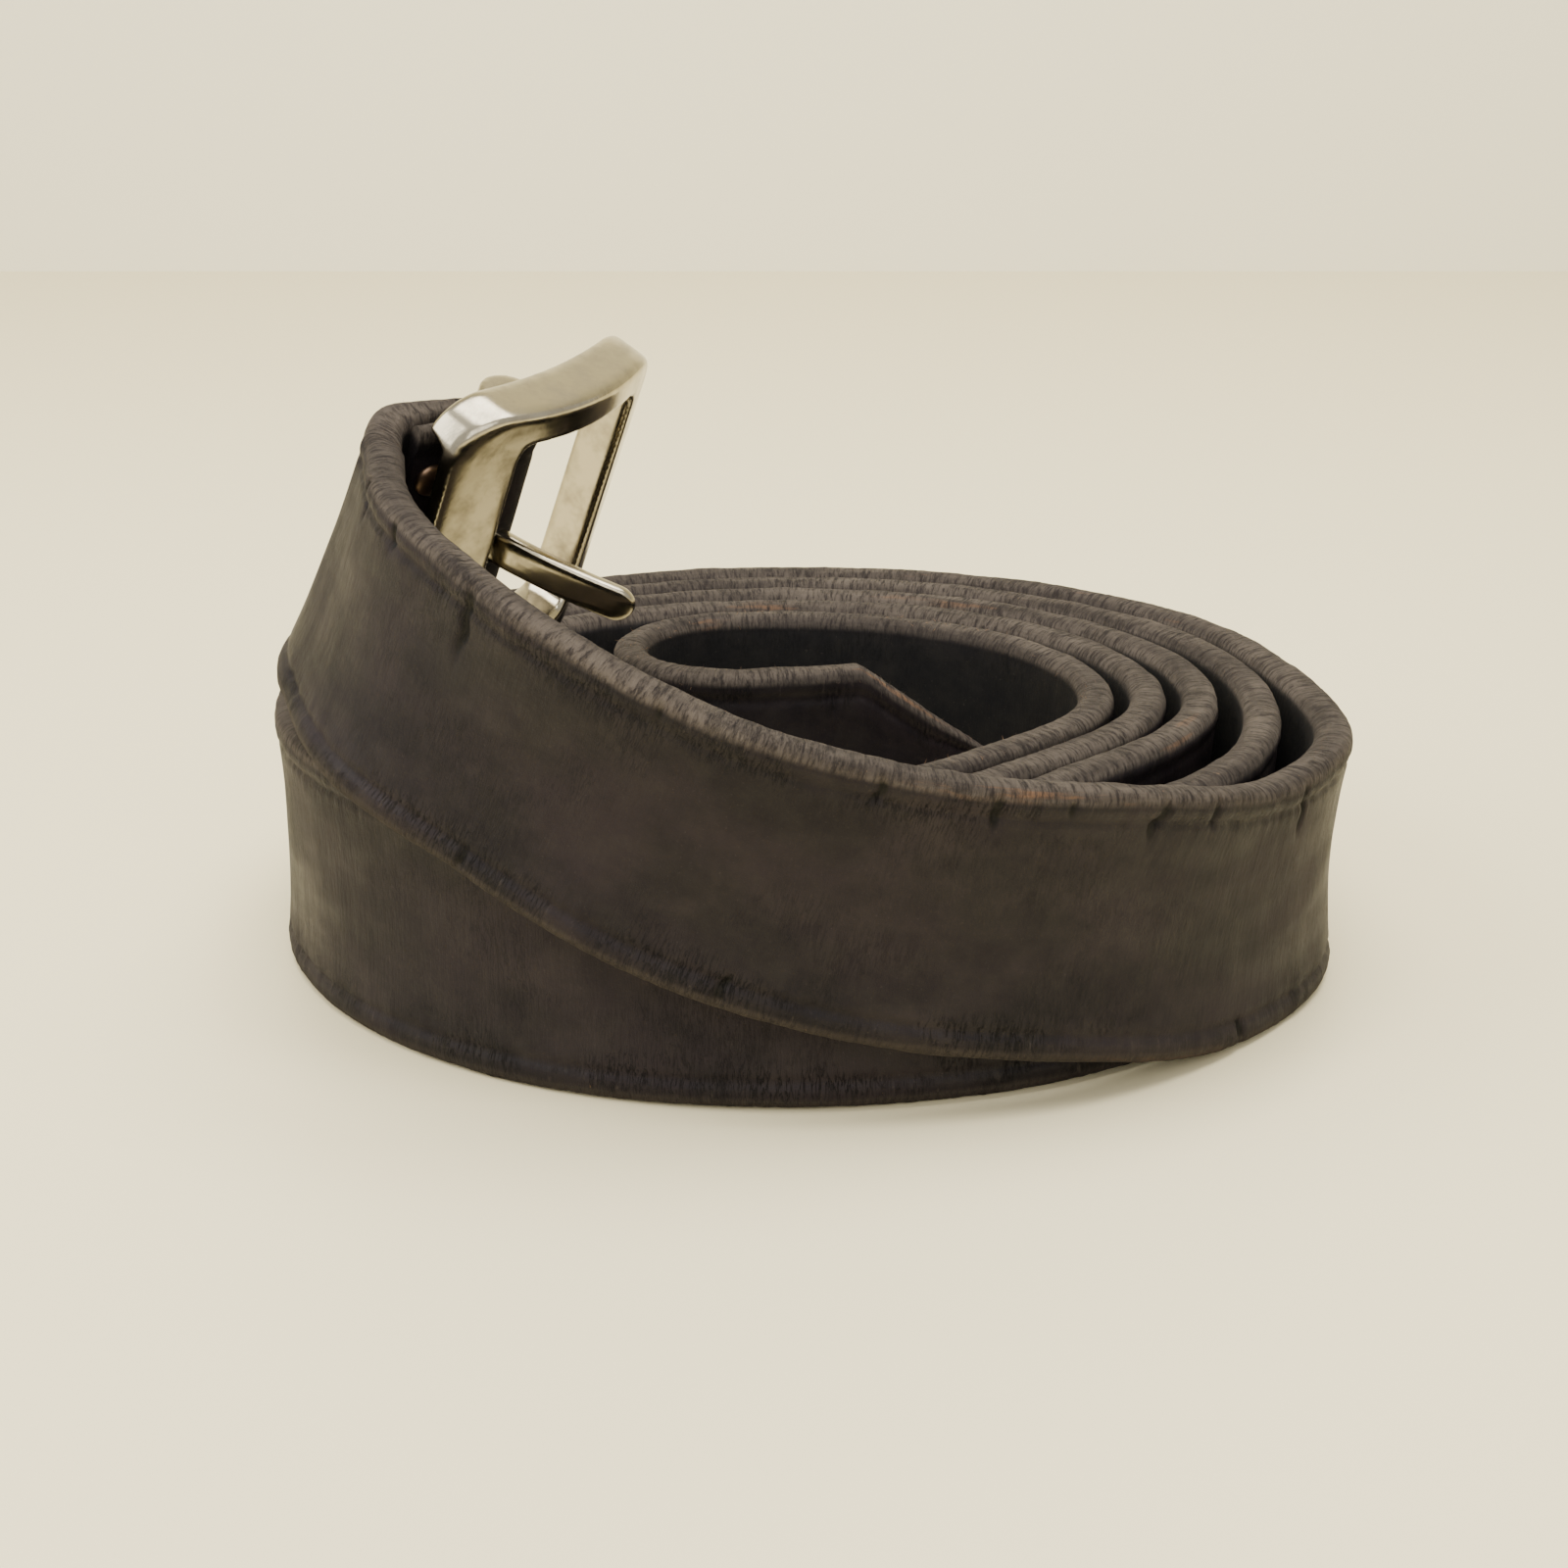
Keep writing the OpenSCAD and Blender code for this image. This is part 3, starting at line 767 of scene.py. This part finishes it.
def cut(target, *cutters):
    """Takes the cutters out of target, and throws them away."""
    for cutter in cutters:
        knife = target.modifiers.new("cut", "BOOLEAN")
        knife.operation, knife.solver, knife.object = "DIFFERENCE", "EXACT", cutter
        graph = bpy.context.evaluated_depsgraph_get()
        result = bpy.data.meshes.new_from_object(target.evaluated_get(graph))
        target.modifiers.remove(knife)
        old, target.data = target.data, result
        bpy.data.meshes.remove(old)
        bpy.data.objects.remove(cutter)


def pin_space(points):
    """Points in mm in the pin's own axes, to metres in the frame."""
    return (PIN_AT + ROLL_AT + np.asarray(points, float) @ PIN_TURN.T) * MM


def prism(name, outline, low, high, place):
    """Closed prism: the outline is in the first two axes, low and high in the third."""
    count = len(outline)
    points = [(*p, low) for p in outline] + [(*p, high) for p in outline]
    faces = [list(range(count))[::-1], list(range(count, 2 * count))]
    faces += [(i, (i + 1) % count, count + (i + 1) % count, count + i) for i in range(count)]
    mesh = bpy.data.meshes.new(name)
    mesh.from_pydata(place(points).tolist(), [], faces)
    return new_object(name, mesh)


loop = loop_stations(6)
pin_loop = sweep("belt_pin_loop", loop, inner_ring, leather, np.zeros(len(loop[0])))
SLOT_H, SLOT_BACK = 5.0, -5.0
slot_outline = [(9, -SLOT_H / 2), (9, SLOT_H / 2)] + [
    (SLOT_BACK + SLOT_H / 2 * (1 - sind(a)), SLOT_H / 2 * cosd(a)) for a in range(0, 181, 15)]
slot_cutter = prism("slot_cutter", slot_outline, -9, 9,
                    lambda p: pin_space(np.asarray(p)[:, [0, 2, 1]]))
cut(pin_loop, slot_cutter)
print("pin loop", len(pin_loop.data.polygons), "faces")

# %% Adjusting holes
hole_cutters = []
for i in range(HOLE_COUNT):
    at = int(np.argmin(np.abs(inner[3] - HOLE_FIRST - i * HOLE_PITCH)))
    centre, out = inner[0][at] + ROLL_AT, inner[2][at]
    side_way = np.cross(out, [0, 0, 1.0])

    def around(p, c=centre, n=out, t=side_way):
        p = np.asarray(p, float)
        return (c + p[:, :1] * t + p[:, 1:2] * [0, 0, 1.0] + p[:, 2:] * n) * MM

    circle = [(HOLE_D / 2 * cosd(a), HOLE_D / 2 * sind(a)) for a in range(0, 360, 12)]
    hole_cutters.append(prism(f"hole_cutter_{i}", circle, -4, 4, around))
cut(hole_end, *hole_cutters)
print("hole end", len(hole_end.data.polygons), "faces")

# %% [markdown]
# ## The buckle
# The frame is one cast and polished piece: a flat heel band, two rails, a front bar, and two
# lugs that hold the pin. Its face is arched, like a short piece of a wide tube. A rounded
# section is carried round the window, and the lugs are turned shapes. A fine voxel remesh then
# melts them together with small fillets, as casting and polishing do.

# %% Sizes of the frame, in millimetres
FRAME_H, WINDOW_H, HEEL_X, HEEL_W, BAR_X, BAR_W = 36.8, 28.6, -10.9, 7.8, 16.4, 5.0
ARCH_R, RAIL_DEPTH, HEEL_DEPTH, CORNER_R, WINDOW_R = 35.0, 6.5, 2.0, 6.0, 2.0
BACK_X, BACK_R = 1.0, 60.0
ARCH_AT = (3.1, -6.4 + ARCH_R)


def frame_space(points, swing):
    """Points in mm, turned about the pin by swing degrees, to metres in the frame."""
    p = np.asarray(points, float)
    x = p[:, 0] * cosd(swing) - p[:, 1] * sind(swing)
    y = p[:, 0] * sind(swing) + p[:, 1] * cosd(swing)
    return pin_space(np.column_stack([x, y, p[:, 2]]))


def round_loop(low, high, radius, arc, side):
    """A rounded rectangle as a loop of points, with the same count on each arc and side."""
    corners = [(high[0] - radius, high[1] - radius, 0), (low[0] + radius, high[1] - radius, 90),
               (low[0] + radius, low[1] + radius, 180), (high[0] - radius, low[1] + radius, 270)]
    loop = []
    for i, (x, z, start) in enumerate(corners):
        turn = np.linspace(start, start + 90, arc + 1)
        loop.append(np.column_stack([x + radius * cosd(turn), z + radius * sind(turn)]))
        nx, nz, nstart = corners[(i + 1) % 4]
        goal = np.array([nx + radius * cosd(nstart), nz + radius * sind(nstart)])
        steps = np.linspace(0, 1, side + 1)[1:-1, None]
        loop.append(loop[-1][-1] + (goal - loop[-1][-1]) * steps)
    return np.vstack(loop)


def grid_mesh(name, grid, place, wrap=True):
    """Quads over a grid of points that closes on itself both ways (or only round)."""
    rows, cols = grid.shape[:2]
    index = np.arange(rows * cols).reshape(rows, cols)
    ahead = np.roll(index, -1, axis=0) if wrap else index[1:]
    here = index if wrap else index[:-1]
    quads = np.stack([here, ahead, np.roll(ahead, -1, 1), np.roll(here, -1, 1)], -1)
    faces = quads.reshape(-1, 4).tolist()
    if not wrap:
        faces += [index[0].tolist(), index[-1][::-1].tolist()]
    mesh = bpy.data.meshes.new(name)
    mesh.from_pydata(place(grid.reshape(-1, 3)).tolist(), [], faces)
    return new_object(name, mesh)


def superellipse(count, power):
    turn = np.linspace(0, 2 * np.pi, count, endpoint=False)
    return tuple(np.sign(f) * np.abs(f) ** (2 / power) for f in (np.cos(turn), np.sin(turn)))


def turned(name, outline, place, count=48):
    """A closed ring: the outline of (radius, height) turned about the pin's line."""
    turn = np.arange(count) * 360 / count
    r, z = np.array(outline).T
    grid = np.stack([cosd(turn)[:, None] * r, sind(turn)[:, None] * r,
                     np.ones(count)[:, None] * z], -1)
    return grid_mesh(name, grid, place)


def melt(name, parts, voxel, rounds, material):
    """Joins closed parts into one skin with small fillets."""
    joined = bmesh.new()
    for part in parts:
        joined.from_mesh(part.data)
        bpy.data.objects.remove(part)
    bmesh.ops.recalc_face_normals(joined, faces=joined.faces)
    mesh = bpy.data.meshes.new(name)
    joined.to_mesh(mesh)
    joined.free()
    made = new_object(name, mesh)
    remesh = made.modifiers.new("melt", "REMESH")
    remesh.mode, remesh.voxel_size, remesh.use_smooth_shade = "VOXEL", voxel * MM, True
    polish = made.modifiers.new("polish", "SMOOTH")
    polish.factor, polish.iterations = 0.5, rounds
    graph = bpy.context.evaluated_depsgraph_get()
    result = bpy.data.meshes.new_from_object(made.evaluated_get(graph))
    made.modifiers.clear()
    made.data = result
    bpy.data.meshes.remove(mesh)
    result.polygons.foreach_set("use_smooth", [True] * len(result.polygons))
    result.materials.clear()
    result.materials.append(material)
    print(name, len(result.polygons), "faces")
    return made


# %% Frame band
def frame_band():
    """The frame as one closed ring, with its arched face and its thin heel."""
    low, high = (HEEL_X, -FRAME_H / 2), (BAR_X + BAR_W, FRAME_H / 2)
    outer_loop = round_loop(low, high, CORNER_R, 16, 28)
    inner_loop = round_loop((HEEL_X + HEEL_W, -WINDOW_H / 2), (BAR_X, WINDOW_H / 2),
                            WINDOW_R, 16, 28)
    cx, cy = superellipse(48, 6.0)
    flat = (outer_loop + inner_loop)[:, None] / 2 + (
        (outer_loop - inner_loop)[:, None] / 2 * cx[None, :, None])
    x, z = flat[..., 0], np.abs(flat[..., 1])
    front = ARCH_AT[1] - np.sqrt(ARCH_R ** 2 - (x - ARCH_AT[0]) ** 2)
    back = (ARCH_AT[1] - ARCH_R + RAIL_DEPTH + BACK_R
            - np.sqrt(BACK_R ** 2 - (x - BACK_X) ** 2))
    heel = (1 - smooth(-3.4, -2.4, x)) * (1 - smooth(WINDOW_H / 2 - 0.5, WINDOW_H / 2 + 0.2, z))
    deep = (back - front) * (1 - heel) + HEEL_DEPTH * heel
    y = front + deep * (0.5 + 0.5 * cy)
    grid = np.stack([flat[..., 0], y, flat[..., 1]], -1)
    return grid_mesh("frame_band", grid, lambda p: frame_space(p, FRAME_SWING))


# %% Frame with its lugs
def ring_outline(r_in, r_out, low, high, round_by):
    """Section of a ring as (radius, height) points, rounder as round_by goes to 1."""
    cx, cy = superellipse(24, 2 + 6 * (1 - round_by))
    return np.column_stack([(r_in + r_out) / 2 + (r_out - r_in) / 2 * cx,
                            (low + high) / 2 + (high - low) / 2 * cy])


LUG_OUT, LUG_R = WINDOW_H / 2 + 2.5, 3.2
lugs = []
for side in (-1, 1):
    outline = ring_outline(PIN_D / 2 - 1.0, LUG_R, min(side * WINDOW_H / 2, side * LUG_OUT),
                           max(side * WINDOW_H / 2, side * LUG_OUT), 0.35)
    lugs.append(turned(f"lug_{side}", outline, lambda p: frame_space(p, FRAME_SWING)))
buckle = melt("buckle_cast_frame", [frame_band()] + lugs, 0.24, 3, nickel)

# %% Pin, with its ends set into the lugs
PIN_HALF = WINDOW_H / 2 + 1.5
pin_profile = [(PIN_D / 2 - 0.55, -PIN_HALF - 0.35), (PIN_D / 2 - 0.15, -PIN_HALF - 0.15),
               (PIN_D / 2, -PIN_HALF + 0.25), (PIN_D / 2, PIN_HALF - 0.25),
               (PIN_D / 2 - 0.15, PIN_HALF + 0.15), (PIN_D / 2 - 0.55, PIN_HALF + 0.35)]
turn = np.arange(40) * 9.0
pin_grid = np.array([[(r * cosd(a), r * sind(a), z) for a in turn] for r, z in pin_profile])
pin = grid_mesh("buckle_pin_peened", pin_grid, lambda p: frame_space(p, 0.0), wrap=False)
pin.data.materials.append(pin_steel)
print("pin", len(pin.data.polygons), "faces")

# %% [markdown]
# The prong is a flat bar whose root is bent into a ring round the pin. Its bar is swept with a
# rounded section that closes at the blunt tip, then it is melted onto its ring.

# %% Prong
PRONG_LEN, PRONG_H, PRONG_T, PRONG_ROUND = 19.6, 4.0, 2.0, 2.0
PRONG_ARC_R, PRONG_ARC_X, PRONG_BOW = 60.0, 9.0, 1.7


def prong_bar():
    """The prong's flat bar, which curves a little and closes at its blunt tip."""
    cx, cy = superellipse(28, 3.6)
    root, nose = 2.0, PRONG_LEN - PRONG_ROUND
    x = np.concatenate([np.linspace(root, nose, 40),
                        nose + PRONG_ROUND * sind(np.linspace(6, 89, 14))])
    past_nose = np.clip((x - nose) / PRONG_ROUND, 0, 1)
    shrink = np.sqrt(np.clip(1 - past_nose ** 2, 0.0004, 1))
    mid = PRONG_ARC_R - PRONG_BOW - np.sqrt(PRONG_ARC_R ** 2 - (x - PRONG_ARC_X) ** 2)
    thick = PRONG_T * (1 - 0.18 * smooth(6, PRONG_LEN, x)) * (0.35 + 0.65 * shrink)
    grid = np.stack([x[:, None] + 0 * cx, mid[:, None] + thick[:, None] / 2 * cy,
                     (PRONG_H / 2 * shrink)[:, None] * cx], -1)
    return grid_mesh("prong_bar", grid[:, ::-1], lambda p: frame_space(p, PRONG_SWING), False)


prong_ring = turned("prong_ring", ring_outline(PIN_D / 2 + 0.05, 3.4, -2.2, 2.2, 0.4),
                    lambda p: frame_space(p, PRONG_SWING))
prong = melt("buckle_prong", [prong_bar(), prong_ring], 0.13, 4, nickel)

# %% [markdown]
# ## Things that repeat: rivets and loose fibres
# Two rivets hold the fold, and hundreds of short fibres stand on the worn edges. Geometry Nodes
# places both from named inputs and a fixed seed, and the result is kept as a plain mesh.


# %% Helpers for Geometry Nodes
def node_tree(name, inputs):
    tree = bpy.data.node_groups.new(name, "GeometryNodeTree")
    tree.interface.new_socket("Geometry", in_out="INPUT", socket_type="NodeSocketGeometry")
    for word, kind in inputs:
        tree.interface.new_socket(word, in_out="INPUT", socket_type=kind)
    tree.interface.new_socket("Geometry", in_out="OUTPUT", socket_type="NodeSocketGeometry")
    return tree, add(tree, "NodeGroupInput"), add(tree, "NodeGroupOutput")


def finish_tree(tree, geometry, end, material):
    real = add(tree, "GeometryNodeRealizeInstances")
    paint = add(tree, "GeometryNodeSetMaterial")
    paint.inputs["Material"].default_value = material
    link(tree, geometry, real.inputs[0])
    link(tree, real.outputs[0], paint.inputs["Geometry"])
    link(tree, paint.outputs[0], end.inputs["Geometry"])


def grow(name, base, tree, values, material):
    """Runs a tree on a mesh and keeps the result as a plain mesh."""
    holder = new_object(name, base)
    maker = holder.modifiers.new("maker", "NODES")
    maker.node_group = tree
    for item in tree.interface.items_tree:
        if item.in_out == "INPUT" and item.name in values:
            maker[item.identifier] = values[item.name]
    graph = bpy.context.evaluated_depsgraph_get()
    mesh = bpy.data.meshes.new_from_object(holder.evaluated_get(graph))
    holder.modifiers.clear()
    holder.data = mesh
    for vertex in mesh.vertices:
        vertex.co.z = max(vertex.co.z, 0.01 * MM)
    if not mesh.materials:
        mesh.materials.append(material)
    print(name, len(mesh.polygons), "faces")
    return holder


# %% Rivets
RIVET_X, RIVET_Z, HEAD_R, HEAD_T = -8.0, 8.0, 2.6, 0.8


def rivet_tree():
    """A flattened dome at each point of a mesh."""
    tree, start, end = node_tree("rivets_on_points", [
        ("Head radius", "NodeSocketFloat"), ("Height", "NodeSocketFloat"),
        ("Turn", "NodeSocketRotation")])
    head = add(tree, "GeometryNodeMeshUVSphere")
    head.inputs["Segments"].default_value = 32
    head.inputs["Rings"].default_value = 16
    link(tree, start.outputs["Head radius"], head.inputs["Radius"])
    shape = add(tree, "ShaderNodeCombineXYZ")
    shape.inputs["X"].default_value = shape.inputs["Y"].default_value = 1.0
    ratio = add(tree, "ShaderNodeMath", operation="DIVIDE")
    link(tree, start.outputs["Height"], ratio.inputs[0])
    link(tree, start.outputs["Head radius"], ratio.inputs[1])
    link(tree, ratio.outputs[0], shape.inputs["Z"])
    squash = add(tree, "GeometryNodeTransform")
    link(tree, head.outputs["Mesh"], squash.inputs["Geometry"])
    link(tree, shape.outputs[0], squash.inputs["Scale"])
    place = add(tree, "GeometryNodeInstanceOnPoints")
    link(tree, start.outputs["Geometry"], place.inputs["Points"])
    link(tree, squash.outputs[0], place.inputs["Instance"])
    link(tree, start.outputs["Turn"], place.inputs["Rotation"])
    smooth_shade = add(tree, "GeometryNodeSetShadeSmooth")
    link(tree, place.outputs[0], smooth_shade.inputs["Geometry"])
    finish_tree(tree, smooth_shade.outputs[0], end, copper)
    return tree


def rivet_points(name, y):
    mesh = bpy.data.meshes.new(name)
    mesh.from_pydata(pin_space([(RIVET_X, y, -RIVET_Z), (RIVET_X, y, RIVET_Z)]).tolist(), [], [])
    return mesh


tail_y = flesh_y - 2.1
face_turn = Matrix(np.column_stack([END_X, -END_Z, END_Y]).tolist()).to_euler()
rivets = rivet_tree()
heads = grow("fold_rivet_heads", rivet_points("head_points", grain_y), rivets,
             {"Head radius": HEAD_R * MM, "Height": HEAD_T * MM, "Turn": face_turn}, copper)
caps = grow("fold_rivet_caps", rivet_points("cap_points", tail_y), rivets,
            {"Head radius": 1.9 * MM, "Height": HEAD_T * MM, "Turn": face_turn}, copper)


# %% Loose fibres
def fibre_tree():
    """Leans thin slivers at random on the worn edges of a mesh."""
    tree, start, end = node_tree("edge_fibres", [
        ("Density", "NodeSocketFloat"), ("Length", "NodeSocketFloat"),
        ("Thickness", "NodeSocketFloat"), ("Seed", "NodeSocketInt")])
    edge = add(tree, "GeometryNodeInputNamedAttribute", data_type="FLOAT")
    edge.inputs["Name"].default_value = "edge"
    worn = add(tree, "FunctionNodeCompare", data_type="FLOAT", operation="GREATER_THAN")
    link(tree, edge.outputs["Attribute"], worn.inputs["A"])
    worn.inputs["B"].default_value = 0.55
    scatter = add(tree, "GeometryNodeDistributePointsOnFaces")
    link(tree, start.outputs["Geometry"], scatter.inputs["Mesh"])
    link(tree, worn.outputs["Result"], scatter.inputs["Selection"])
    link(tree, start.outputs["Density"], scatter.inputs["Density"])
    link(tree, start.outputs["Seed"], scatter.inputs["Seed"])
    sliver = add(tree, "GeometryNodeMeshCone")
    sliver.inputs["Vertices"].default_value = 3
    sliver.inputs["Side Segments"].default_value = 2
    link(tree, start.outputs["Thickness"], sliver.inputs["Radius Bottom"])
    link(tree, start.outputs["Length"], sliver.inputs["Depth"])
    lean = add(tree, "FunctionNodeRandomValue", data_type="FLOAT_VECTOR")
    lean.inputs["Min"].default_value = (-1.35, -1.35, -3.0)
    lean.inputs["Max"].default_value = (1.35, 1.35, 3.0)
    link(tree, start.outputs["Seed"], lean.inputs["Seed"])
    turned_by = add(tree, "FunctionNodeRotateRotation", rotation_space="LOCAL")
    link(tree, scatter.outputs["Rotation"], turned_by.inputs["Rotation"])
    link(tree, lean.outputs["Value"], turned_by.inputs["Rotate By"])
    size = add(tree, "FunctionNodeRandomValue", data_type="FLOAT")
    size.inputs["Min"].default_value, size.inputs["Max"].default_value = 0.35, 1.0
    place = add(tree, "GeometryNodeInstanceOnPoints")
    link(tree, scatter.outputs["Points"], place.inputs["Points"])
    link(tree, sliver.outputs["Mesh"], place.inputs["Instance"])
    link(tree, turned_by.outputs[0], place.inputs["Rotation"])
    link(tree, size.outputs["Value"], place.inputs["Scale"])
    finish_tree(tree, place.outputs[0], end, fibre_paint)
    return tree


def fibre_material():
    material = plain_material("leather_fibre", (0.16, 0.10, 0.06), 0.9)
    tree = material.node_tree
    place = add(tree, "ShaderNodeTexCoord").outputs["Object"]
    tone = ranged(tree, noise_node(tree, place, (90.0, 90.0, 90.0), 2.0), 0.4, 0.6)
    colour = mix(tree, tone, (0.055, 0.042, 0.034), (0.23, 0.13, 0.065))
    link(tree, colour, tree.nodes["Principled BSDF"].inputs["Base Color"])
    return material


fibre_paint = fibre_material()
fibres_tree = fibre_tree()
fibre_pieces = []
for seed, source, density in ((11, climbing_turn, 420000), (12, outer_turn, 300000),
                              (13, third_turn, 300000), (14, hole_end, 300000)):
    fibre_pieces.append(grow(f"fibres_{source.name}", source.data.copy(), fibres_tree, {
        "Density": float(density), "Length": 0.7 * MM, "Thickness": 0.035 * MM, "Seed": seed},
        fibre_paint))

# %% [markdown]
# ## Tie every piece to its CAD body
# The strap's pieces and its rivets ride the strap, the frame and pin ride the buckle, and the
# prong has its own body, so each hinge moves only what it should.

# %% Bodies and replaced nodes
for piece, body, slot, nodes in (
        (hole_end, "strap", "leather", ["strap_tip", "strap_hole_end"]),
        (middle_turns, "strap", "leather", ["strap_roll"]),
        (third_turn, "strap", "leather", ["strap_roll"]),
        (outer_turn, "strap", "leather", ["strap_roll"]),
        (climbing_turn, "strap", "leather", ["strap_wrap"]),
        (pin_loop, "strap", "leather", ["strap_fold"]),
        (heads, "strap", "rivet", ["rivet_posts"]),
        (caps, "strap", "rivet", ["rivet_caps"]),
        (buckle, "buckle", "metal", ["buckle_frame"]),
        (pin, "buckle", "metal", ["buckle_pin"]),
        (prong, "prong", "metal", ["prong"])):
    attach(piece, body)
    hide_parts(*nodes)
for piece in fibre_pieces:
    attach(piece, "strap")
